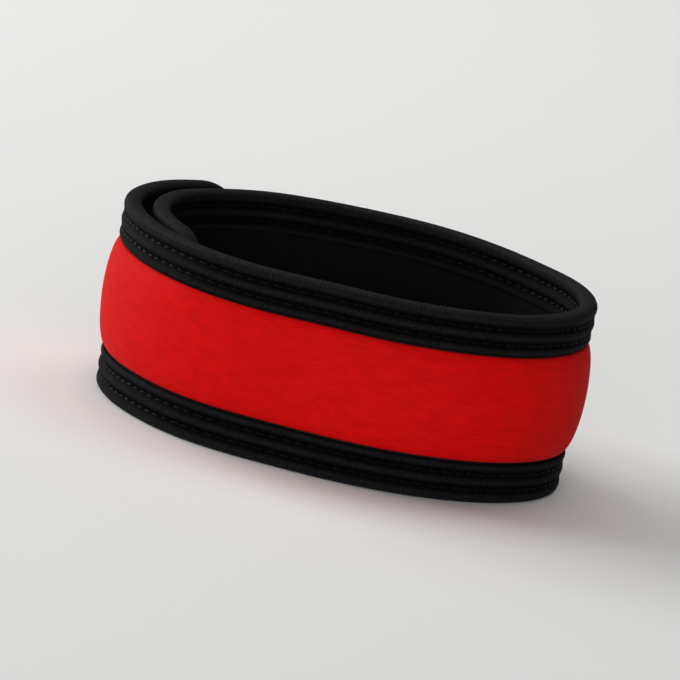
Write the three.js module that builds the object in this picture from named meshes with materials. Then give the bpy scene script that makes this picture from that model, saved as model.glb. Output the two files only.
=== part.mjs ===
// A bicep band: a soft neoprene strap wound once round the arm and lapped over its own end.
// A black base, a raised red stripe, a folded black tape round the whole edge, and a closure between the laps.
// Millimetres, +Z up. The loop's axis is Z, and the band rests on its lower rim at Z = 0.

import * as THREE from 'three';

// The loop: the arm hole is an ellipse in plan
const HOLE_HALF_X = 42;
const HOLE_HALF_Y = 46.2;

// The strap: its height from rim to rim, its wall over the tape, and the rounding of its four corners
const HEIGHT = 40;
const WALL = 3.8;
const CORNER_RADIUS = 10;

// The wall from the middle outwards: half the base, a fitting gap, then the tape
const BASE_THICKNESS = 2;
const GAP = 0.2;
const TAPE_THICKNESS = WALL / 2 - BASE_THICKNESS / 2 - GAP;
const TAPE_LIP = 8.4;

// The stripe stands this much above the base at the middle of its height, and at its long edges
const STRIPE_CROWN = 2.3;
const STRIPE_SHOULDER = 0.85;
const STRIPE_SIDE_GAP = 0.2;
const STRIPE_CORNER = 2.5;
const STRIPE_PAST_OUTER_END = 5;

// The lap, in degrees round the loop: where the inner end faces, how far the outer end runs on past it,
// and the stretch before the inner end in which the strap climbs over it
const INNER_END_FACES = 179;
const LAP = 94;
const CLIMB = 46;

// The laps at mid height lie this far apart, and the outer one leans out at its top rim and in at its lower rim
const LAP_GAP = 1.4;
const LAP_LEAN = 1;

// The closure keeps this distance from the tape round it
const CLOSURE_MARGIN = 0.6;
const CLOSURE_CORNER = 3;

// Facets
const STEP_ALONG = 4.5;
const CORNER_STEPS = 6;
const TURN = 360 + LAP;

const { degToRad, smootherstep } = THREE.MathUtils;

// How far the strap has climbed onto its own inner end, from 0 to 1, after turning this many degrees
const climbed = (turned) => smootherstep(turned, 360 - CLIMB, 360);

// The middle of the wall seen from above. It starts at the inner end and winds clockwise.
class StrapLine extends THREE.Curve {
  getPoint(share, target = new THREE.Vector3()) {
    const turned = share * TURN;
    const facing = degToRad(INNER_END_FACES - turned);
    const x = Math.cos(facing);
    const y = Math.sin(facing);
    const reach = Math.hypot(HOLE_HALF_X * x, HOLE_HALF_Y * y);
    const off = WALL / 2 + (WALL + LAP_GAP) * climbed(turned);
    return target.set((HOLE_HALF_X ** 2 / reach + off) * x, (HOLE_HALF_Y ** 2 / reach + off) * y, 0);
  }
}

const strapLine = new StrapLine();
strapLine.arcLengthDivisions = TURN * 5;
const LENGTH = strapLine.getLength();

// The distance from the inner end at which the strap has turned this many degrees
const alongAt = (turned) => strapLine.getLengths()[Math.round((turned / TURN) * strapLine.arcLengthDivisions)];

// The degrees that the strap has turned at this distance from the inner end
const turnedAt = (along) => strapLine.getUtoTmapping(0, along) * TURN;

// A point of the flat strap where the wound strap has it:
// along from the inner end, out from the middle of the wall, and up from the lower rim
function wound({ along, out, up }) {
  const turned = turnedAt(along);
  const middle = strapLine.getPoint(turned / TURN);
  const ahead = strapLine.getTangent(turned / TURN);
  const lean = LAP_LEAN * climbed(turned) * ((2 * up) / HEIGHT - 1);
  const reach = out + lean;
  return new THREE.Vector3(middle.x - ahead.y * reach, middle.y + ahead.x * reach, up);
}

// A closed body through rings of points that all have the same count.
// Rings that come back to the first one need no end faces.
function bodyThrough(rings, endless) {
  const count = rings[0].length;
  const index = [];
  const joins = endless ? rings.length : rings.length - 1;
  for (let ring = 0; ring < joins; ring += 1) {
    const here = ring * count;
    const next = ((ring + 1) % rings.length) * count;
    for (let point = 0; point < count; point += 1) {
      const beside = (point + 1) % count;
      index.push(here + point, here + beside, next + beside);
      index.push(here + point, next + beside, next + point);
    }
  }
  if (!endless) {
    const last = (rings.length - 1) * count;
    for (let point = 1; point < count - 1; point += 1) {
      index.push(0, point + 1, point);
      index.push(last, last + point, last + point + 1);
    }
  }
  const geometry = new THREE.BufferGeometry().setFromPoints(rings.flat().map(wound));
  geometry.setIndex(index);
  return geometry;
}

// The places along a strip with round corners, and how much of its height is cut off there at either edge
function stripPlaces(start, end, radius) {
  const corner = Array.from({ length: CORNER_STEPS + 1 }, (_, step) => {
    const angle = (step / CORNER_STEPS) * (Math.PI / 2);
    return { in: radius * (1 - Math.cos(angle)), cut: radius * (1 - Math.sin(angle)) };
  });
  const straight = end - start - 2 * radius;
  const steps = Math.ceil(straight / STEP_ALONG);
  const middle = Array.from({ length: steps - 1 }, (_, step) => {
    return { along: start + radius + (straight * (step + 1)) / steps, cut: 0 };
  });
  return [
    ...corner.map(({ in: inward, cut }) => ({ along: start + inward, cut })),
    ...middle,
    ...corner.reverse().map(({ in: inward, cut }) => ({ along: end - inward, cut })),
  ];
}

// The base: the strap's neoprene from end to end, inside the fold of the tape
function baseBand() {
  const inset = TAPE_THICKNESS + GAP;
  const half = BASE_THICKNESS / 2;
  const rings = stripPlaces(inset, LENGTH - inset, CORNER_RADIUS - inset).map(({ along, cut }) => {
    const low = inset + cut;
    const high = HEIGHT - inset - cut;
    return [
      { along, out: -half, up: low },
      { along, out: half, up: low },
      { along, out: half, up: high },
      { along, out: -half, up: high },
    ];
  });
  return bodyThrough(rings, false);
}

// The tape's section: in from the rim, and out from the middle of the wall.
// Two sewn grooves leave three ridges on the outer lip.
const TAPE_FACE = WALL / 2;
const TAPE_BACK = WALL / 2 - TAPE_THICKNESS;
const TAPE_SECTION = [
  { in: TAPE_LIP, out: TAPE_BACK },
  { in: TAPE_THICKNESS, out: TAPE_BACK },
  { in: TAPE_THICKNESS, out: -TAPE_BACK },
  { in: TAPE_LIP, out: -TAPE_BACK },
  { in: TAPE_LIP, out: -TAPE_FACE },
  { in: 1, out: -TAPE_FACE },
  { in: 0.25, out: -1.6 },
  { in: 0, out: -1 },
  { in: 0, out: 1 },
  { in: 0.25, out: 1.6 },
  { in: 1.2, out: TAPE_FACE },
  { in: 2.9, out: 1.55 },
  { in: 4.5, out: TAPE_FACE },
  { in: 6.1, out: 1.55 },
  { in: 7.4, out: TAPE_FACE },
  { in: TAPE_LIP, out: 1.7 },
];

// The strap's rim as places with the direction that points in from it: four round corners and the runs between
function rimPlaces() {
  const far = LENGTH - CORNER_RADIUS;
  const top = HEIGHT - CORNER_RADIUS;
  const corners = [
    { along: far, up: CORNER_RADIUS, from: -90 },
    { along: far, up: top, from: 0 },
    { along: CORNER_RADIUS, up: top, from: 90 },
    { along: CORNER_RADIUS, up: CORNER_RADIUS, from: 180 },
  ];
  const onCorner = (corner, step) => {
    const angle = degToRad(corner.from + (90 * step) / CORNER_STEPS);
    const side = new THREE.Vector2(Math.cos(angle), Math.sin(angle));
    const centre = new THREE.Vector2(corner.along, corner.up);
    return { place: centre.addScaledVector(side, CORNER_RADIUS), inward: side.clone().negate() };
  };
  return corners.flatMap((corner, number) => {
    const turn = Array.from({ length: CORNER_STEPS + 1 }, (_, step) => onCorner(corner, step));
    const { place, inward } = turn[CORNER_STEPS];
    const next = onCorner(corners[(number + 1) % corners.length], 0).place;
    const steps = Math.ceil(place.distanceTo(next) / STEP_ALONG);
    const run = Array.from({ length: steps - 1 }, (_, step) => {
      return { place: place.clone().lerp(next, (step + 1) / steps), inward };
    });
    return [...turn, ...run];
  });
}

// The folded tape: its section carried once round the whole rim of the strap
function edgeBinding() {
  const rings = rimPlaces().map(({ place, inward }) => {
    return TAPE_SECTION.map((point) => {
      const { x, y } = place.clone().addScaledVector(inward, point.in);
      return { along: x, out: point.out, up: y };
    });
  });
  return bodyThrough(rings, true);
}

// The stripe's outer face from a long edge to mid height: in from the edge, and its share of the rise from
// shoulder to crown
const STRIPE_ARC = [
  { in: 0, share: 0 },
  { in: 0.9, share: 0.34 },
  { in: 3, share: 0.62 },
  { in: 6.5, share: 0.9 },
];

// The stripe's rounding at its two ends: in from the end, and the share of the outer face's height that is left
const STRIPE_END = [
  { in: 0, share: 0.45 },
  { in: 0.6, share: 0.7 },
  { in: 2, share: 0.9 },
  { in: 4.5, share: 1 },
];

function endShare(distance) {
  const after = STRIPE_END.findIndex((row) => row.in > distance);
  if (after < 0) {
    return 1;
  }
  const low = STRIPE_END[after - 1];
  const high = STRIPE_END[after];
  return THREE.MathUtils.mapLinear(distance, low.in, high.in, low.share, high.share);
}

// The red stripe: a padded strip on the outside, from just past the lapped end right round to the outer end
function redStripe() {
  const start = alongAt(LAP) + STRIPE_PAST_OUTER_END;
  const end = LENGTH - TAPE_LIP - STRIPE_SIDE_GAP;
  const back = BASE_THICKNESS / 2 + GAP;
  const edge = TAPE_LIP + STRIPE_SIDE_GAP;
  const rings = stripPlaces(start, end, STRIPE_CORNER).map(({ along, cut }) => {
    const low = edge + cut;
    const high = HEIGHT - low;
    const left = endShare(Math.min(along - start, end - along));
    const face = (share) => back + left * THREE.MathUtils.lerp(STRIPE_SHOULDER, STRIPE_CROWN, share);
    const rising = STRIPE_ARC.map((row) => ({ along, out: face(row.share), up: low + row.in }));
    const falling = STRIPE_ARC.map((row) => ({ along, out: face(row.share), up: high - row.in })).reverse();
    return [
      { along, out: back, up: low },
      ...rising,
      { along, out: face(1), up: HEIGHT / 2 },
      ...falling,
      { along, out: back, up: high },
    ];
  });
  return bodyThrough(rings, false);
}

// The closure: the hook and loop pads as one piece, filling the space between the two laps
function hookAndLoopClosure() {
  const outerEndTurn = turnedAt(LENGTH - TAPE_LIP) - 360;
  const start = TAPE_LIP + CLOSURE_MARGIN;
  const end = alongAt(outerEndTurn) - CLOSURE_MARGIN;
  const innerFace = BASE_THICKNESS / 2 + GAP;
  const outerFace = WALL + LAP_GAP - innerFace;
  const edge = TAPE_LIP + CLOSURE_MARGIN;
  const rings = stripPlaces(start, end, CLOSURE_CORNER).map(({ along, cut }) => {
    const low = edge + cut;
    const high = HEIGHT - low;
    const lean = (up) => LAP_LEAN * ((2 * up) / HEIGHT - 1);
    return [
      { along, out: innerFace, up: low },
      { along, out: outerFace + lean(low), up: low },
      { along, out: outerFace + lean(high), up: high },
      { along, out: innerFace, up: high },
    ];
  });
  return bodyThrough(rings, false);
}

const neoprene = new THREE.MeshStandardMaterial({ color: '#17181b', roughness: 0.75, metalness: 0 });
const tape = new THREE.MeshStandardMaterial({ color: '#121316', roughness: 0.5, metalness: 0 });
const redNeoprene = new THREE.MeshStandardMaterial({ color: '#c80f10', roughness: 0.6, metalness: 0 });
const pile = new THREE.MeshStandardMaterial({ color: '#101113', roughness: 0.95, metalness: 0 });

function piece(name, geometry, material) {
  const mesh = new THREE.Mesh(geometry, material);
  mesh.name = name;
  return mesh;
}

const band = new THREE.Group();
band.add(
  piece('base_band', baseBand(), neoprene),
  piece('edge_binding', edgeBinding(), tape),
  piece('red_stripe', redStripe(), redNeoprene),
  piece('hook_and_loop_closure', hookAndLoopClosure(), pile),
);

// The band stands on the middle of its own footprint
const middle = new THREE.Box3().setFromObject(band).getCenter(new THREE.Vector3());
band.position.set(-middle.x, -middle.y, 0);

export default band;
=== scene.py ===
# %% [markdown]
# A bicep band is a soft strap that is worn round the upper arm. This one is a strip of foam rubber with
# jersey on both faces. It has a raised red stripe on the outside, a folded tape sewn round its whole edge,
# and pads of hook and loop that close it where it laps over its own end.
# The CAD part holds the real sizes. This file dresses it: each piece is made again as the soft thing that
# it is, on the same sizes and in the same place, and the solid that it stands for is hidden.

import math
import random

import bmesh
import bpy
import numpy as np
from mathutils import Matrix, Vector, noise


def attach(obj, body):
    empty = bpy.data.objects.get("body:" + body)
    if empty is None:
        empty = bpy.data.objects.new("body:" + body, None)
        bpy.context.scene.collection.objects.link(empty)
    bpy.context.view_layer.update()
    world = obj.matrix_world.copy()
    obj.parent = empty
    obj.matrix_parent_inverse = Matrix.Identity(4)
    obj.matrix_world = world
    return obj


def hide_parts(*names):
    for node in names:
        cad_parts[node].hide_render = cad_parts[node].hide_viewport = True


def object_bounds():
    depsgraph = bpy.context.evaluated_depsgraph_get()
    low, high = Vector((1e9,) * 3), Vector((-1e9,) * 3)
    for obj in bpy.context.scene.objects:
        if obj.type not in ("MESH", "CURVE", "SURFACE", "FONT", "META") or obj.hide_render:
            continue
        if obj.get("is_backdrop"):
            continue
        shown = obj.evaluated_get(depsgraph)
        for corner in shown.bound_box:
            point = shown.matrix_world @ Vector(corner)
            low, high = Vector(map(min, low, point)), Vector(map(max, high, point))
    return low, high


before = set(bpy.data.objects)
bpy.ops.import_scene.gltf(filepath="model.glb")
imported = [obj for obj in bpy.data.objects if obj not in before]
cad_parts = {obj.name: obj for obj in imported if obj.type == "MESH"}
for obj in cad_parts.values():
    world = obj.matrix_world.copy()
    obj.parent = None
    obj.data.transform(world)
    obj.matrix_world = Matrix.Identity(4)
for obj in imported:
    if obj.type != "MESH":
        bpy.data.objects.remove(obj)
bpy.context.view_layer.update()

# %% [markdown]
# The band lies on its lower rim, and the camera looks at it from a little above, as in the photograph. A
# lens as long as this one sees the band almost without perspective, as a product photograph does. The
# camera is also turned about its own axis, so that the band slopes in the picture as it does on an arm.
# Its turn is three plain rotations, one after the other, which are easier to check than a tracked target.

# %% Camera
VIEW_AZIMUTH = math.radians(-38.3)
VIEW_ELEVATION = math.radians(10.95)
VIEW_ROLL = math.radians(12.2)
VIEW_DISTANCE = 2.5
VIEW_WIDTH = 0.142
SENSOR_WIDTH = 36
AIM = Vector((0, 0, 0.020))


def add_object(name, data):
    """A new object that shows this data, linked to the scene."""
    made = bpy.data.objects.new(name, data)
    bpy.context.scene.collection.objects.link(made)
    return made


facing = (
    Matrix.Rotation(VIEW_AZIMUTH, 3, "Z")
    @ Matrix.Rotation(math.pi / 2 - VIEW_ELEVATION, 3, "X")
    @ Matrix.Rotation(VIEW_ROLL, 3, "Z")
)
camera = add_object("camera", bpy.data.cameras.new("camera"))
camera.data.sensor_width = SENSOR_WIDTH
camera.data.lens = SENSOR_WIDTH * VIEW_DISTANCE / VIEW_WIDTH
camera.rotation_euler = facing.to_euler()
camera.location = AIM + facing @ Vector((0, 0, VIEW_DISTANCE))
bpy.context.scene.camera = camera
print(f"the lens is {camera.data.lens:.0f} mm, and the camera is {camera.location.z:.2f} m above the floor")

# %% [markdown]
# A maker sews the band flat and then winds it round the arm. This file works in the same order. Each piece
# is modelled flat, in millimetres, where it is easy to measure: X is along the strap from its inner end, Y
# is out from the middle of the wall, and Z is up from the lower rim. Then one function winds every piece
# alike, so that pieces which touch when flat still touch when wound. A Curve modifier could bend them too,
# but it would not let the outer lap lean, and this function repeats what the CAD part does.

# %% The line that the strap is wound on
HOLE_HALF_X = 42
HOLE_HALF_Y = 46.2
WALL = 3.8
INNER_END_FACES = 179
LAP = 94
CLIMB = 46
LAP_GAP = 1.4
TURN = 360 + LAP
STEPS_PER_DEGREE = 5


def climbed(turned):
    """How far the strap has climbed onto its inner end after turning these degrees, eased from 0 to 1."""
    share = np.clip((turned - (360 - CLIMB)) / CLIMB, 0, 1)
    return share**3 * (share * (6 * share - 15) + 10)


def strap_line(turned):
    """The middle of the wall seen from above, in mm, after turning these degrees from the inner end."""
    direction = np.radians(INNER_END_FACES - turned)
    x, y = np.cos(direction), np.sin(direction)
    reach = np.hypot(HOLE_HALF_X * x, HOLE_HALF_Y * y)
    off = WALL / 2 + (WALL + LAP_GAP) * climbed(turned)
    return np.stack([(HOLE_HALF_X**2 / reach + off) * x, (HOLE_HALF_Y**2 / reach + off) * y], axis=-1)


TURNED = np.linspace(0, TURN, TURN * STEPS_PER_DEGREE + 1)
ALONG = np.insert(np.cumsum(np.linalg.norm(np.diff(strap_line(TURNED), axis=0), axis=1)), 0, 0)
LENGTH = ALONG[-1]
print(f"the strap is {LENGTH:.1f} mm long before it is wound")

# %% [markdown]
# Sewn foam rubber never lies quite true. Its wall swells and sinks by a tenth of a millimetre or so between
# stitches, and its free rim rises and falls a little. A Displace modifier on each piece could do this, but
# it would push each along its own normals and part them. So a slow noise adds both as the strap is wound.
# It is a function of the place alone, so every layer moves with its neighbours. Each noise has a number of
# its own, so that no two look alike. The lower rim stays down, because the band rests on it. The row frame
# starts at the middle of the band's footprint, so the place of that middle is taken off last.

# %% Wind a flat mesh into its place
HEIGHT = 40
LAP_LEAN = 1
LOOK_AHEAD = 0.05
FOOTPRINT_MIDDLE = (-2.6438, 2.2697)
SWELL = 0.16
SWELL_WIDTH = 17
SWELL_LAYER = 0
RIM_RISE = 0.3
RIM_WAVE = 26
RIM_LAYER = 5
METRES = 0.001


def rim_to_rim(up):
    """From -1 at the lower rim to 1 at the upper rim."""
    return 2 * up / HEIGHT - 1


def slow_noise(along, up, width, layer):
    """A smooth noise between about -1 and 1 for each place of the strap."""
    return np.array([noise.noise(Vector((a / width, u / width, layer))) for a, u in zip(along, up)])


def wind(flat):
    """Places in the row frame, in metres, of places on the flat strap, in mm."""
    along, out, up = flat.T
    turned = np.interp(along, ALONG, TURNED)
    here = strap_line(turned)
    ahead = strap_line(turned + LOOK_AHEAD) - strap_line(turned - LOOK_AHEAD)
    ahead /= np.linalg.norm(ahead, axis=1, keepdims=True)
    lean = LAP_LEAN * climbed(turned) * rim_to_rim(up)
    reach = out + lean + SWELL * slow_noise(along, up, SWELL_WIDTH, SWELL_LAYER)
    lifted = up * (1 + RIM_RISE / HEIGHT * slow_noise(along, 0 * up, RIM_WAVE, RIM_LAYER))
    x = here[:, 0] - ahead[:, 1] * reach - FOOTPRINT_MIDDLE[0]
    y = here[:, 1] + ahead[:, 0] * reach - FOOTPRINT_MIDDLE[1]
    return np.stack([x, y, lifted], axis=1) * METRES


outer_end = wind(np.array([[LENGTH, 0, HEIGHT / 2]]))[0]
print("the outer end is wound to, in mm:", [round(1000 * side, 1) for side in outer_end])

# %% [markdown]
# Every piece ends in the same way. Its flat places are kept on the mesh as an attribute, because that is
# where the threads of its cloth run: a weave that is drawn on the flat cloth bends with it, and never
# slides or stretches as one on world coordinates would. Then the mesh is wound, smoothed, and handed to the
# frame.

# %% Finish a piece
FLAT = "flat_mm"
CREASE_ANGLE = math.radians(50)


def places(mesh):
    """The mesh's vertices as rows of three numbers."""
    found = np.empty(3 * len(mesh.vertices), np.float32)
    mesh.vertices.foreach_get("co", found)
    return found.reshape(-1, 3).astype(float)


def as_mesh(name, bm):
    """The bmesh as a mesh, with its normals pointing out."""
    bmesh.ops.recalc_face_normals(bm, faces=bm.faces)
    mesh = bpy.data.meshes.new(name)
    bm.to_mesh(mesh)
    bm.free()
    return mesh


def fit_on(name, mesh, flat, pattern, material, node=None):
    """Winds a flat mesh, keeps its pattern's places on it, and hands it to the frame."""
    kept = mesh.attributes.new(FLAT, "FLOAT_VECTOR", "POINT")
    kept.data.foreach_set("vector", pattern.astype(np.float32).ravel())
    mesh.vertices.foreach_set("co", wind(flat).astype(np.float32).ravel())
    mesh.shade_smooth()
    mesh.set_sharp_from_angle(angle=CREASE_ANGLE)
    mesh.materials.append(material)
    piece = add_object(name, mesh)
    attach(piece, "root")
    if node:
        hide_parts(node)
    print(f"{name}: {sum(len(face.vertices) - 2 for face in mesh.polygons)} triangles")
    return piece


def fit_flat(name, bm, material, node):
    """The same for a bmesh that lies in its flat places, which are its pattern's places too."""
    mesh = as_mesh(name, bm)
    flat = places(mesh)
    return fit_on(name, mesh, flat, flat, material, node)


print("edges look soft up to", round(math.degrees(CREASE_ANGLE)), "degrees, and crisp beyond")

# %% [markdown]
# A material is a small net of nodes. One function adds any node, sets it up and wires it, which keeps each
# net short enough to read. Two more add sums and waves, which every weave is drawn with. Colours are
# written as the hex values that a screen shows, and turned to the linear values that light adds up in.

# %% Nodes and colours
def linear(colour):
    """The linear red, green, blue and alpha of an sRGB hex colour, by the curve of the sRGB standard."""
    shown = [int(colour[start : start + 2], 16) / 255 for start in (1, 3, 5)]
    return [v / 12.92 if v <= 0.04045 else ((v + 0.055) / 1.055) ** 2.4 for v in shown] + [1]


def add_node(tree, kind, inputs=(), **settings):
    """Adds a node. Each input is given a value, an output, or a node whose first output feeds it."""
    made = tree.nodes.new("ShaderNode" + kind)
    for name, value in settings.items():
        setattr(made, name, value)
    for socket, value in dict(inputs).items():
        if isinstance(value, bpy.types.Node):
            value = value.outputs[0]
        if isinstance(value, bpy.types.NodeSocket):
            tree.links.new(value, made.inputs[socket])
        else:
            made.inputs[socket].default_value = value
    return made


def add_math(tree, operation, *values):
    """Adds a Math node that works on these values, in this order."""
    return add_node(tree, "Math", enumerate(values), operation=operation)


def add_wave(tree, along, spacing):
    """Adds a wave from -1 to 1 that comes round once in every spacing."""
    return add_math(tree, "SINE", add_math(tree, "MULTIPLY", along, 2 * math.pi / spacing))


print("the grey #808080 gives", round(linear("#808080")[0], 2), "of the light of white")

# %% [markdown]
# Each material starts from the shader's own sockets, such as its roughness. Then three things may be added,
# all of them on the flat places of the cloth: a colour between two tones, which is dye on the jersey and
# dye, wear and painted light on the tape, a painted shade where the threads hide from the light, and a
# relief that is too fine to model, which only turns the light.

# %% What the materials share
def start_material(name, finish):
    """A new material, its node tree and its shader, with the shader's own sockets set."""
    material = bpy.data.materials.new(name)
    material.use_nodes = True
    shader = material.node_tree.nodes["Principled BSDF"]
    for socket, value in finish.items():
        shader.inputs[socket].default_value = value
    return material, material.node_tree, shader


def flat_places(tree):
    """The output that gives each point's place on the flat cloth, in mm."""
    return add_node(tree, "Attribute", attribute_name=FLAT).outputs["Vector"]


def tone_and_painted_shade(tree, shader, share, deep, bright, shade):
    """Colours between a deep and a bright tone, by this share, and darkens it by this painted shade."""
    tones = {"Factor": share, "A": linear(deep), "B": linear(bright)}
    tone = add_node(tree, "Mix", tones, data_type="RGBA").outputs["Result"]
    layers = {"Factor": 1, "A": tone, "B": shade}
    shaded = add_node(tree, "Mix", layers, data_type="RGBA", blend_type="MULTIPLY").outputs["Result"]
    tree.links.new(shaded, shader.inputs["Base Color"])


def raise_relief(tree, shader, height, depth, strength):
    """Turns the light as a relief of this height would, where a height of 1 is this many metres deep."""
    relief = add_node(tree, "Bump", {"Height": height, "Distance": depth, "Strength": strength})
    tree.links.new(relief.outputs["Normal"], shader.inputs["Normal"])


print("every pattern is drawn on the attribute", FLAT)

# %% [markdown]
# The foam rubber is neoprene, and its faces are nylon jersey that was glued on. Jersey is a knit: rows of
# small loops that show as columns of tiny Vs. There are far too many loops to model, so two waves draw
# their relief. One rounds each column, and the other slants to the middle of the column and back, which
# gives the Vs. The real columns are about half a millimetre apart. They are drawn here at three quarters of
# one, so that they show in the render.

# %% The relief of a knit
WALE = 0.75
COURSE = 0.6
YARN_WANDER = 0.12
LOOP_SHARE = 0.55


def knit_height(tree, flat):
    """The height of the knit, from 0 to 1, on the flat cloth. Its yarn wanders a little off its columns."""
    uneven = add_node(tree, "TexNoise", {"Vector": flat, "Scale": 1.1, "Detail": 2})
    wander = add_node(
        tree,
        "VectorMath",
        {0: uneven.outputs["Color"], 1: (YARN_WANDER,) * 3, 2: flat},
        operation="MULTIPLY_ADD",
    )
    axes = add_node(tree, "SeparateXYZ", {"Vector": wander})
    rounded = add_math(tree, "ABSOLUTE", add_wave(tree, axes.outputs["Z"], 2 * WALE))
    leg = add_math(tree, "PINGPONG", axes.outputs["Z"], WALE / 2)
    slanted = add_math(tree, "ADD", axes.outputs["X"], leg)
    loop = add_wave(tree, slanted, COURSE)
    relief = add_math(tree, "MULTIPLY_ADD", loop, LOOP_SHARE, rounded)
    return add_node(
        tree,
        "MapRange",
        {"Value": relief, "From Min": -LOOP_SHARE, "From Max": 1 + LOOP_SHARE},
    )


print("the knit's columns are", WALE, "mm apart")

# %% [markdown]
# A bare nylon face would shine, but the loops shade each other, so the specular level is low. Loose fibres
# catch light at a flat angle, which is what the sheen is for. The fibres lie along the strap, where hands
# and sleeves brush them, so the dye shows faint streaks that way. Streaks could be painted on, but a noise
# that is stretched along the strap never repeats. The same knit serves both colours.

# %% Jersey on neoprene
KNIT_DEPTH = 0.00006
HOLLOW_SHADE = 0.8
STREAKS_PER_MM = (0.24, 1, 0.7)
FIBRE_SHARE = 0.5


def jersey(name, deep, bright, finish):
    """Nylon jersey on neoprene: its dye varies in streaks, and painted shade darkens its loops' hollows."""
    material, tree, shader = start_material(name, finish)
    flat = flat_places(tree)
    brushed = add_node(tree, "VectorMath", {0: flat, 1: STREAKS_PER_MM}, operation="MULTIPLY")
    streak = add_node(tree, "TexNoise", {"Vector": brushed, "Scale": 1, "Detail": 3})
    fibre = add_node(tree, "TexNoise", {"Vector": flat, "Scale": 2.2, "Detail": 2})
    both = add_math(tree, "MULTIPLY_ADD", fibre, FIBRE_SHARE, streak)
    spread = add_node(tree, "MapRange", {"Value": both, "From Min": 0.5, "From Max": 1})
    knit = knit_height(tree, flat)
    shade = add_node(tree, "MapRange", {"Value": knit, "To Min": HOLLOW_SHADE, "To Max": 1})
    tone_and_painted_shade(tree, shader, spread, deep, bright, shade)
    raise_relief(tree, shader, knit, KNIT_DEPTH, strength=0.9)
    return material


NYLON_JERSEY = {
    "Roughness": 0.75,
    "IOR": 1.53,
    "Specular IOR Level": 0.03,
    "Sheen Weight": 0.03,
    "Sheen Roughness": 0.35,
}
red_jersey = jersey(
    "red nylon jersey on neoprene",
    "#b80908",
    "#c90c0b",
    {**NYLON_JERSEY, "Sheen Tint": linear("#ff8a80")},
)
black_jersey = jersey(
    "black nylon jersey on neoprene",
    "#0b0b0d",
    "#111113",
    {**NYLON_JERSEY, "Sheen Tint": linear("#9a9aa4")},
)
print("one knit in two colours:", red_jersey.name, "and", black_jersey.name)

# %% [markdown]
# The tape is a stretch binding, woven in nylon with a satin face. It has fine ribs straight across it,
# about half a millimetre apart. Its shine is faint, but tighter than the jersey's. Two rows of stitches
# draw it into grooves. It is painted a little greyer at the fold and along the ridges: partly wear, where
# it stands proud and rubs against the arm and the sleeve, and partly painted highlight where it meets the
# light. The grooves stay deep black as painted shade. The wear could be painted on by hand, but the
# distance in from the rim already tells which of these a place is.

# %% Woven tape
RIB = 0.55
RIB_DEPTH = 0.00005
GRAIN_SHARE = 1.2
SHADE_BETWEEN_RIBS = 0.6
LIGHT_ON_RIBS = 1.3
STITCH_ROWS = (2.9, 6.1)
HALF_RIDGE = (STITCH_ROWS[1] - STITCH_ROWS[0]) / 2
GROOVE_SHARE = 0.35
RIDGE_WEAR_AND_HIGHLIGHT = 0.85
FOLD_REACH = 1.6
FOLD_WEAR_AND_HIGHLIGHT = 1.6

binding_tape, tree, shader = start_material(
    "black woven satin tape",
    {"Roughness": 0.65, "IOR": 1.53, "Specular IOR Level": 0.016},
)
flat = flat_places(tree)
axes = add_node(tree, "SeparateXYZ", {"Vector": flat})
rib = add_wave(tree, axes.outputs["X"], RIB)
grain = add_node(tree, "TexNoise", {"Vector": flat, "Scale": 1.6, "Detail": 3})
# Wear and painted highlight: greyer at the fold and along the ridges; the grooves stay black as painted
# shade.
fold = add_node(
    tree,
    "MapRange",
    {"Value": axes.outputs["Z"], "From Min": FOLD_REACH, "From Max": 0, "To Max": FOLD_WEAR_AND_HIGHLIGHT},
)
from_groove = add_math(tree, "SUBTRACT", axes.outputs["Z"], STITCH_ROWS[0])
ridge = add_node(
    tree,
    "MapRange",
    {
        "Value": add_math(tree, "PINGPONG", from_groove, HALF_RIDGE),
        "From Min": GROOVE_SHARE * HALF_RIDGE,
        "From Max": HALF_RIDGE,
        "To Max": RIDGE_WEAR_AND_HIGHLIGHT,
    },
)
wear_and_painted_highlight = add_math(tree, "MULTIPLY", add_math(tree, "MAXIMUM", fold, ridge), grain)
# Painted light and shade across the ribs: lighter on their crowns and darker between them.
shade = add_node(
    tree,
    "MapRange",
    {"Value": rib, "From Min": -1, "To Min": SHADE_BETWEEN_RIBS, "To Max": LIGHT_ON_RIBS},
)
tone_and_painted_shade(tree, shader, wear_and_painted_highlight, "#030304", "#252528", shade)
uneven = add_math(tree, "MULTIPLY_ADD", grain, GRAIN_SHARE, rib)
raise_relief(tree, shader, uneven, RIB_DEPTH, strength=0.8)
print("tape ribs", RIB, "mm apart")

# %% [markdown]
# Sewing thread is spun polyester, two or three plies twisted together. The twist shows as slanted bands
# along each stitch, and polyester shines more than nylon jersey. Each ply could be modelled, but they are
# so fine that a slanted wave, which only turns the light, looks the same.

# %% Thread
PLY = 0.5
PLY_DEPTH = 0.00004

sewing_thread, tree, shader = start_material(
    "black spun polyester thread",
    {"Base Color": linear("#08080a"), "Roughness": 0.4, "IOR": 1.55, "Specular IOR Level": 0.04},
)
axes = add_node(tree, "SeparateXYZ", {"Vector": flat_places(tree)})
slant = add_math(tree, "ADD", axes.outputs["X"], axes.outputs["Z"])
raise_relief(tree, shader, add_wave(tree, slant, PLY), PLY_DEPTH, strength=0.7)
print("the thread's plies come round every", PLY, "mm")

# %% [markdown]
# The closure is a pad of nylon hooks pressed into a pad of nylon loops. Both scatter light in every
# direction, so they are the dullest black on the band. Hair could stand for the pile, but little of it
# shows between the laps, so a pattern of cells that only turns the light is enough.

# %% Hook and loop
TUFTS_PER_MM = 1.4
TUFT_DEPTH = 0.0003
NYLON_PILE = {
    "Base Color": linear("#0e0e10"),
    "Roughness": 0.95,
    "IOR": 1.53,
    "Specular IOR Level": 0.1,
    "Sheen Weight": 0.1,
}

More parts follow.
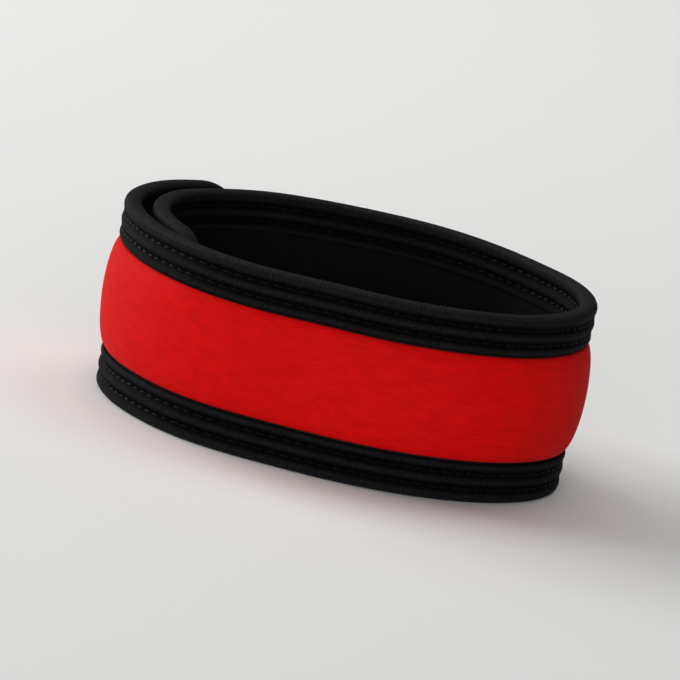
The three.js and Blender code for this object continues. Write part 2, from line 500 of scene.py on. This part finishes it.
pile, tree, shader = start_material("black nylon hook and loop pile", NYLON_PILE)
tufts = add_node(tree, "TexVoronoi", {"Vector": flat_places(tree), "Scale": TUFTS_PER_MM})
raise_relief(tree, shader, tufts.outputs["Distance"], TUFT_DEPTH, strength=0.9)
print("the pile has", TUFTS_PER_MM, "tufts a millimetre")

# %% [markdown]
# The strap, the stripe and the pads are all cut from flat stock, so one function cuts a plate: a cube at
# the right size, with its four corners rounded by a bevel. A long face can't bend, so a second function
# slices the plate with planes wherever the piece has to follow a curve. A grid would give the same faces,
# but it could not have round corners and a thickness so easily.

# %% Cut a plate and slice it
CORNER_SEGMENTS = 8


def cut_plate(start, end, low, high, back, front, corner):
    """A plate with round corners, in mm on the flat strap."""
    bm = bmesh.new()
    bmesh.ops.create_cube(bm, size=1)
    bmesh.ops.scale(bm, vec=(end - start, front - back, high - low), verts=bm.verts)
    middle = ((start + end) / 2, (back + front) / 2, (low + high) / 2)
    bmesh.ops.translate(bm, vec=middle, verts=bm.verts)
    through = [e for e in bm.edges if abs(e.verts[0].co.y - e.verts[1].co.y) > (front - back) / 2]
    bmesh.ops.bevel(
        bm,
        geom=through,
        offset=corner,
        segments=CORNER_SEGMENTS,
        profile=0.5,
        affect="EDGES",
        material=-1,
    )
    return bm


def slice_plate(bm, axis, cuts):
    """Cuts the plate through with a plane across the axis at each of these places."""
    for cut in cuts:
        everything = bm.verts[:] + bm.edges[:] + bm.faces[:]
        bmesh.ops.bisect_plane(bm, geom=everything, dist=1e-4, plane_co=axis * cut, plane_no=axis)


def steps_between(start, end, step):
    """Evenly spaced places from start to end, without the two ends."""
    return np.linspace(start, end, round((end - start) / step) + 1)[1:-1]


print("four round corners of", CORNER_SEGMENTS, "steps each on every plate")

# %% [markdown]
# The base is the strap itself, two millimetres of neoprene inside the fold of the tape. Its outside is
# hidden but for a short stretch past the outer end. Its inside lies open, and it is bent the short way
# there, so the jersey gathers into fine upright creases. The material could draw them, but they are deep
# enough to keep the light from each other, so they are real dents in the mesh: where a stretched noise
# comes near zero, the face sinks. They fade out towards the tape, which holds the jersey flat.

# %% Base strap
ALONG_AXIS = Vector((1, 0, 0))
UP_AXIS = Vector((0, 0, 1))
TAPE_LIP = 8.4
UNDER_TAPE = 1
RIM_CORNER = 10
BASE_INSET = 0.9
BASE_HALF = 1
BASE_STEP_ALONG = 0.7
BASE_STEP_UP = 1.6
CREASE_DEPTH = 0.35
CREASE_SPACING = 6
CREASE_LENGTH = 30
CREASE_WIDTH = 0.24
CREASE_FADE = 3
CREASE_LAYER = 9

base_end = LENGTH - BASE_INSET
base_top = HEIGHT - BASE_INSET
bm = cut_plate(BASE_INSET, base_end, BASE_INSET, base_top, -BASE_HALF, BASE_HALF, RIM_CORNER - BASE_INSET)
slice_plate(bm, ALONG_AXIS, steps_between(BASE_INSET, base_end, BASE_STEP_ALONG))
slice_plate(bm, UP_AXIS, steps_between(TAPE_LIP - UNDER_TAPE, HEIGHT - TAPE_LIP + UNDER_TAPE, BASE_STEP_UP))
for vertex in bm.verts:
    along, out, up = vertex.co
    if out < 0:
        crossing = abs(noise.noise(Vector((along / CREASE_SPACING, up / CREASE_LENGTH, CREASE_LAYER))))
        sunk = max(0, 1 - crossing / CREASE_WIDTH) ** 2
        clear_of_tape = min(1, max(0, min(up, HEIGHT - up) - TAPE_LIP) / CREASE_FADE)
        vertex.co.y += CREASE_DEPTH * sunk * clear_of_tape
base_strap = fit_flat("base_strap", bm, black_jersey, "base_band")

# %% [markdown]
# The tape runs once round the whole rim: along the bottom, round the outer end, back along the top and
# round the inner end. Like the strap it is made straight first, as one long bar, and then led round the
# rim. Here X counts stitches, because the tape is pulled in at every needle hole. Y is out from the wall
# and Z is in from the rim. On the flat strap a place is a complex number, along and up. Multiplying by i
# turns a direction a quarter to the left, which is just what each round corner does.

# %% Lead a straight piece round the rim
STITCH = 2.8
CORNER_STITCHES = 4
LONG_STITCHES = round((LENGTH - 2 * RIM_CORNER) / STITCH)
SHORT_STITCHES = round((HEIGHT - 2 * RIM_CORNER) / STITCH)
STITCHES = 2 * (LONG_STITCHES + SHORT_STITCHES) + 4 * CORNER_STITCHES
SEAM_AT = 16


def on_rim(stitch, inward):
    """The place on the flat strap, along + up i, this many stitches round the rim and this far in."""
    place, ahead = complex(RIM_CORNER, 0), 1
    stitch = (stitch + SEAM_AT) % STITCHES
    for count, length in 2 * ((LONG_STITCHES, LENGTH), (SHORT_STITCHES, HEIGHT)):
        straight = length - 2 * RIM_CORNER
        if stitch <= count:
            return place + ahead * straight * stitch / count + 1j * ahead * inward
        place += ahead * straight
        stitch -= count
        if stitch <= CORNER_STITCHES:
            turn = np.exp(0.5j * math.pi * stitch / CORNER_STITCHES)
            return place + 1j * ahead * (RIM_CORNER - (RIM_CORNER - inward) * turn)
        place += (1 + 1j) * ahead * RIM_CORNER
        ahead *= 1j
        stitch -= CORNER_STITCHES
    raise ValueError("a place further round than the rim is long")


def round_the_rim(straight):
    """Places on the flat strap, in mm, of places on a straight bar that is led round its rim."""
    led = np.array([on_rim(stitch, inward) for stitch, _, inward in straight])
    return np.stack([led.real, straight[:, 1], led.imag], axis=1)


def on_cloth(straight):
    """The same places with the count of stitches turned to mm, for the pattern of the cloth."""
    return straight * (STITCH, 1, 1)


print(f"{STITCHES} stitches go round the rim in each row")

# %% [markdown]
# The tape's section is a ring of points that folds over the edge of the base. Each point is millimetres in
# from the rim and millimetres out from the middle of the wall. Two rows of stitches draw both outer faces
# down into grooves and leave three soft ridges. A bevelled curve could sweep the same section, but its
# rings would not fall on the needle holes. So the spin operator sweeps the ring along the bar, with no
# angle, which only steps it forward. It steps twice for each stitch, and each second ring is drawn in at
# the needle holes.

# %% Edge tape
ROUND_BASE = [(8.4, 1.05), (4.5, 1.05), (0.8, 1.05), (0.8, -1.05), (4.5, -1.05), (8.4, -1.05)]
INNER_LIP = [
    (8.45, -1.65), (7.6, -1.9), (6.8, -1.8), (6.1, -1.5), (5.4, -1.8),
    (4.5, -1.92), (3.6, -1.8), (2.9, -1.5), (2.2, -1.8), (1.1, -1.95),
]
FOLD = [(0.3, -1.7), (-0.05, -0.9), (-0.05, 0.9), (0.3, 1.7)]
OUTER_LIP = [
    (1.2, 2.05), (2.2, 1.85), (2.9, 1.3), (3.6, 1.85), (4.5, 2.1),
    (5.4, 1.85), (6.1, 1.3), (6.8, 1.85), (7.5, 2.05), (8.45, 1.6),
]
RING_STEP = 0.5
OUTER_FACES = 1.2
PUCKER = 0.2
PUCKER_WIDTH = 1

bm = bmesh.new()
ring = [bm.verts.new((0, out, inward)) for inward, out in ROUND_BASE + INNER_LIP + FOLD + OUTER_LIP]
hoop = [bm.edges.new(pair) for pair in zip(ring, ring[1:] + ring[:1])]
bmesh.ops.spin(
    bm,
    geom=hoop,
    cent=(0, 0, 0),
    axis=(0, 0, 1),
    dvec=(RING_STEP, 0, 0),
    angle=0,
    steps=round(STITCHES / RING_STEP),
)
for vertex in bm.verts:
    stitch, out, inward = vertex.co
    at_needle_hole = stitch % 1 < RING_STEP / 2
    if at_needle_hole and abs(out) > OUTER_FACES:
        nearest = min(abs(inward - row) for row in STITCH_ROWS)
        vertex.co.y -= math.copysign(PUCKER * max(0, 1 - nearest / PUCKER_WIDTH), out)
print("the straight bar of tape has", len(bm.verts), "vertices")

# %% [markdown]
# Now the bar is led round the rim, and its two ends are merged where they meet. Its straight places stay on
# the mesh through the merge, and become the pattern of the weave. One level of subdivision turns the steps
# of the bar into soft puckers, so the bar itself needs only two rings for each stitch.

# %% Lead the tape round the rim
SEAM_MERGE = 0.01

straight = np.array([vertex.co for vertex in bm.verts])
for vertex, place in zip(bm.verts, round_the_rim(straight)):
    vertex.co = place
pattern = bm.verts.layers.float_vector.new("straight")
for vertex, place in zip(bm.verts, on_cloth(straight)):
    vertex[pattern] = place
bmesh.ops.remove_doubles(bm, verts=bm.verts, dist=SEAM_MERGE)
mesh = as_mesh("edge_tape", bm)
straight = np.empty(3 * len(mesh.vertices), np.float32)
mesh.attributes["straight"].data.foreach_get("vector", straight)
mesh.attributes.remove(mesh.attributes["straight"])
weave = straight.reshape(-1, 3)
edge_tape = fit_on("edge_tape", mesh, places(mesh), weave, binding_tape, "edge_binding")
smooth = edge_tape.modifiers.new("soft ridges", "SUBSURF")
smooth.levels = smooth.render_levels = 1

# %% [markdown]
# A stitch is a short piece of thread that comes out of one needle hole and goes down the next. It is a thin
# cylinder with its ends bent down and drawn to a point. There are over a thousand, so each has only a few
# faces. A loop could add them one by one, but an Array modifier repeats one stitch of each row along the
# whole bar at once.

# %% A straight bar of stitches
THREAD = 0.2
THREAD_SIDES = 6
THREAD_TAPER = 0.6
THREAD_OUTSIDE = 1.62
THREAD_INSIDE = -1.68
STITCH_SHARE = 0.84
STITCH_SINK = 0.45
SLICES = 5

bm = bmesh.new()
lying = Matrix.Rotation(math.pi / 2, 3, "Y")
for row in STITCH_ROWS:
    for out in (THREAD_OUTSIDE, THREAD_INSIDE):
        made = bmesh.ops.create_cone(
            bm, cap_ends=True, segments=THREAD_SIDES, radius1=THREAD, radius2=THREAD, depth=1
        )
        bmesh.ops.rotate(bm, verts=made["verts"], cent=(0, 0, 0), matrix=lying)
        bmesh.ops.translate(bm, verts=made["verts"], vec=(0.5, out, row))
slice_plate(bm, ALONG_AXIS, steps_between(0, 1, 1 / SLICES))
for vertex in bm.verts:
    share, out, inward = vertex.co
    row = min(STITCH_ROWS, key=lambda place: abs(place - inward))
    side = THREAD_OUTSIDE if out > 0 else THREAD_INSIDE
    bent = (2 * share - 1) ** 4
    thin = 1 - THREAD_TAPER * bent
    vertex.co.x = 0.5 + (share - 0.5) * STITCH_SHARE
    vertex.co.y = side + (out - side) * thin - math.copysign(STITCH_SINK * bent, side)
    vertex.co.z = row + (inward - row) * thin
one = add_object("one_stitch", as_mesh("one_stitch", bm))
repeat = one.modifiers.new("repeat", "ARRAY")
repeat.count = STITCHES
repeat.use_relative_offset = False
repeat.use_constant_offset = True
repeat.constant_offset_displace = (1, 0, 0)
mesh = bpy.data.meshes.new_from_object(one.evaluated_get(bpy.context.evaluated_depsgraph_get()))
bpy.data.objects.remove(one)
print("the straight bar of stitches has", len(mesh.vertices), "vertices")

# %% [markdown]
# No two stitches lie quite alike. Each is shifted along and across its row and turned a little, at random
# from a fixed seed, so that every run sews the same band. Then the bar is led round the rim, as the tape
# was.

# %% Stitches
STITCH_SEED = 11
SHIFT_ALONG = 0.04
SHIFT_ACROSS = 0.07
TURN_ACROSS = 0.12

chance = random.Random(STITCH_SEED)
shift = np.array([[chance.uniform(-1, 1) for _ in range(3)] for _ in range(STITCHES)])
straight = places(mesh)
number = np.floor(straight[:, 0]).astype(int)
off_middle = straight[:, 0] - number - 0.5
straight[:, 0] += SHIFT_ALONG * shift[number, 0]
straight[:, 2] += SHIFT_ACROSS * shift[number, 1] + TURN_ACROSS * shift[number, 2] * off_middle
fit_on("stitches", mesh, round_the_rim(straight), on_cloth(straight), sewing_thread)

# %% [markdown]
# The stripe is a thicker strip of neoprene with its red jersey pulled over the edges, so it stands up from
# the band like a long low cushion. Its outline is a plate with small round corners. From side to side its
# height is half an ellipse, highest in the middle, which is how stuffed cloth lies when both its edges are
# held down. At an end or a corner it rises in the same way, but within about three millimetres. A cloth
# simulation would puff it up too, but a formula keeps it to the sizes of the CAD part.

# %% The form of a cushion
STRIPE_GAP = 0.4
STRIPE_CORNER = 3.2
STRIPE_LOW = TAPE_LIP + STRIPE_GAP
HALF_STRIPE = HEIGHT / 2 - STRIPE_LOW
AT_EDGE = 0.001


def roll(inward, width):
    """The share of the full height, this far in from an edge whose roll is this wide."""
    left = 1 - min(max(inward / width, 0), 1)
    return math.sqrt(1 - left**2)


def cushion(from_side, from_end):
    """The share of the full height, this far in from the nearest side and from the nearest end."""
    rest = math.hypot(max(STRIPE_CORNER - from_side, 0), max(STRIPE_CORNER - from_end, 0))
    inside = max(from_side, AT_EDGE)
    crown = roll(inside, HALF_STRIPE) / roll(inside, STRIPE_CORNER)
    return crown * roll(STRIPE_CORNER - rest, STRIPE_CORNER)


print("the stripe is", round(2 * HALF_STRIPE, 1), "mm wide")

# %% [markdown]
# The stripe starts just past the strap's outer end, and stops just short of the tape at that end. Its
# slices lie close together near the edges, where the face turns fast. Only the front of the plate is
# raised. Its back stays flat on the base.

# %% Red stripe
STRIPE_CROWN = 3.65
STRIPE_FOOT = 1.15
PAST_OUTER_END = 5
STRIPE_START = np.interp(LAP, TURNED, ALONG) + PAST_OUTER_END
STRIPE_END = LENGTH - TAPE_LIP - STRIPE_GAP
STRIPE_HIGH = HEIGHT - STRIPE_LOW
STRIPE_STEP = 0.9
SIDE_SLICES = 14
END_SLICES = 7

from_side = [HALF_STRIPE * (step / SIDE_SLICES) ** 2 for step in range(1, SIDE_SLICES)]
from_end = [STRIPE_CORNER * (step / END_SLICES) ** 2 for step in range(1, END_SLICES + 1)]
bm = cut_plate(STRIPE_START, STRIPE_END, STRIPE_LOW, STRIPE_HIGH, BASE_HALF, STRIPE_CROWN, STRIPE_CORNER)
slice_plate(bm, ALONG_AXIS, [STRIPE_START + cut for cut in from_end])
slice_plate(bm, ALONG_AXIS, [STRIPE_END - cut for cut in from_end])
slice_plate(
    bm, ALONG_AXIS, steps_between(STRIPE_START + STRIPE_CORNER, STRIPE_END - STRIPE_CORNER, STRIPE_STEP)
)
slice_plate(bm, UP_AXIS, [STRIPE_LOW + cut for cut in from_side] + [HEIGHT / 2])
slice_plate(bm, UP_AXIS, [STRIPE_HIGH - cut for cut in from_side])
for vertex in bm.verts:
    along, out, up = vertex.co
    if out > (BASE_HALF + STRIPE_CROWN) / 2:
        height = cushion(HALF_STRIPE - abs(up - HEIGHT / 2), min(along - STRIPE_START, STRIPE_END - along))
        vertex.co.y = STRIPE_FOOT + (STRIPE_CROWN - STRIPE_FOOT) * height
red_stripe = fit_flat("red_stripe_cover", bm, red_jersey, "red_stripe")

# %% [markdown]
# Between the two laps lie the pads of the closure, loops on the inner lap and hooks on the outer one,
# pressed together. They share the place of one solid of the CAD part. The outer lap leans, so the hook
# pad's outer face leans with it. A noise roughens both, as the pile does.

# %% Closure pads
PAD_MARGIN = 0.6
PAD_CORNER = 3
PAD_GAP = 0.05
PAD_STEP = 1.2
PAD_ROUGHNESS = 0.15
PAD_WAVES_PER_MM = 0.9

pad_start = pad_low = TAPE_LIP + PAD_MARGIN
pad_high = HEIGHT - TAPE_LIP - PAD_MARGIN
outer_lip_turned = np.interp(LENGTH - TAPE_LIP, ALONG, TURNED)
pad_end = np.interp(outer_lip_turned - 360, TURNED, ALONG) - PAD_MARGIN
inner_face = BASE_HALF + PAD_GAP
outer_face = WALL + LAP_GAP - inner_face
meeting = (inner_face + outer_face) / 2
pads = (("loop_pad", inner_face, meeting - PAD_GAP), ("hook_pad", meeting + PAD_GAP, outer_face))
for name, back, front in pads:
    bm = cut_plate(pad_start, pad_end, pad_low, pad_high, back, front, PAD_CORNER)
    slice_plate(bm, ALONG_AXIS, steps_between(pad_start, pad_end, PAD_STEP))
    slice_plate(bm, UP_AXIS, steps_between(pad_low, pad_high, PAD_STEP))
    for vertex in bm.verts:
        if vertex.co.y > (meeting + outer_face) / 2:
            vertex.co.y += LAP_LEAN * rim_to_rim(vertex.co.z)
        vertex.co.z += PAD_ROUGHNESS * noise.noise(vertex.co * PAD_WAVES_PER_MM)
    fit_flat(name, bm, pile, "hook_and_loop_closure")

# %% [markdown]
# The band lies on a pale painted floor that runs on past the picture's edge. The floor is a plain plane, so
# nothing draws the eye from the band. Matt paint spreads the light, so the band isn't mirrored in it.

# %% Floor
FLOOR_HALF = 6

floor_paint, tree, shader = start_material(
    "pale matt floor paint", {"Base Color": linear("#e9e9e7"), "Roughness": 0.8, "IOR": 1.45}
)
bm = bmesh.new()
bmesh.ops.create_grid(bm, x_segments=1, y_segments=1, size=FLOOR_HALF)
floor = add_object("floor", as_mesh("floor", bm))
floor.data.materials.append(floor_paint)
floor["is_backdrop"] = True
print("the floor is", 2 * FLOOR_HALF, "m wide")

# %% [markdown]
# The light is a plain studio set. A wide softbox behind and to the left brightens the red towards that end,
# as in the photograph. One in front lights the face, and a weak fill keeps the right end from going dark.
# These three stand low, so that the stripe is as bright at its foot as at its top. A large one over the
# back lights the floor and draws a line of shine along the upper rim. Large lights give soft edges to the
# shadows. The lamps are hidden from the camera, so that none of them shows in a picture. The Standard view
# shows the dyes as they are, where a film-like view would pale the red.

# %% Lights
SOFTBOXES = (
    # name, azimuth and elevation in degrees, distance, width and height in metres, watts
    ("key", -150, 22, 1.6, 1.9, 0.9, 32.5),
    ("front", -38, 9, 1.8, 1.2, 0.5, 20.5),
    ("fill", 10, 10, 1.8, 1.2, 0.6, 2),
    ("back", 142, 62, 1.8, 1.8, 1.0, 12.5),
)
ROOM_GREY = "#e8e8e8"
ROOM_STRENGTH = 0.15


def softbox(name, azimuth, elevation, distance, width, height, watts):
    """A soft light that faces the band."""
    lamp = add_object(name, bpy.data.lights.new(name, "AREA"))
    lamp.data.shape = "RECTANGLE"
    lamp.data.size = width
    lamp.data.size_y = height
    lamp.data.energy = watts
    turned, raised = math.radians(azimuth), math.radians(elevation)
    level = math.cos(raised)
    back = Vector((math.sin(turned) * level, -math.cos(turned) * level, math.sin(raised)))
    lamp.location = AIM + back * distance
    lamp.rotation_euler = back.to_track_quat("Z", "Y").to_euler()
    lamp.visible_camera = False


for box in SOFTBOXES:
    softbox(*box)

world = bpy.data.worlds.new("studio")
world.use_nodes = True
room = world.node_tree.nodes["Background"]
room.inputs["Color"].default_value = linear(ROOM_GREY)
room.inputs["Strength"].default_value = ROOM_STRENGTH
bpy.context.scene.world = world
bpy.context.scene.view_settings.view_transform = "Standard"
print(len(SOFTBOXES), "softboxes and a dim grey world")

# %% [markdown]
# Last, the dressed band's box is printed. Cloth may stand proud of its solid, but only by a little.

# %% The dressed band's size
visual_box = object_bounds()
sides = [round(1000 * side, 1) for side in visual_box[1] - visual_box[0]]
print("the dressed band measures, in mm:", sides)
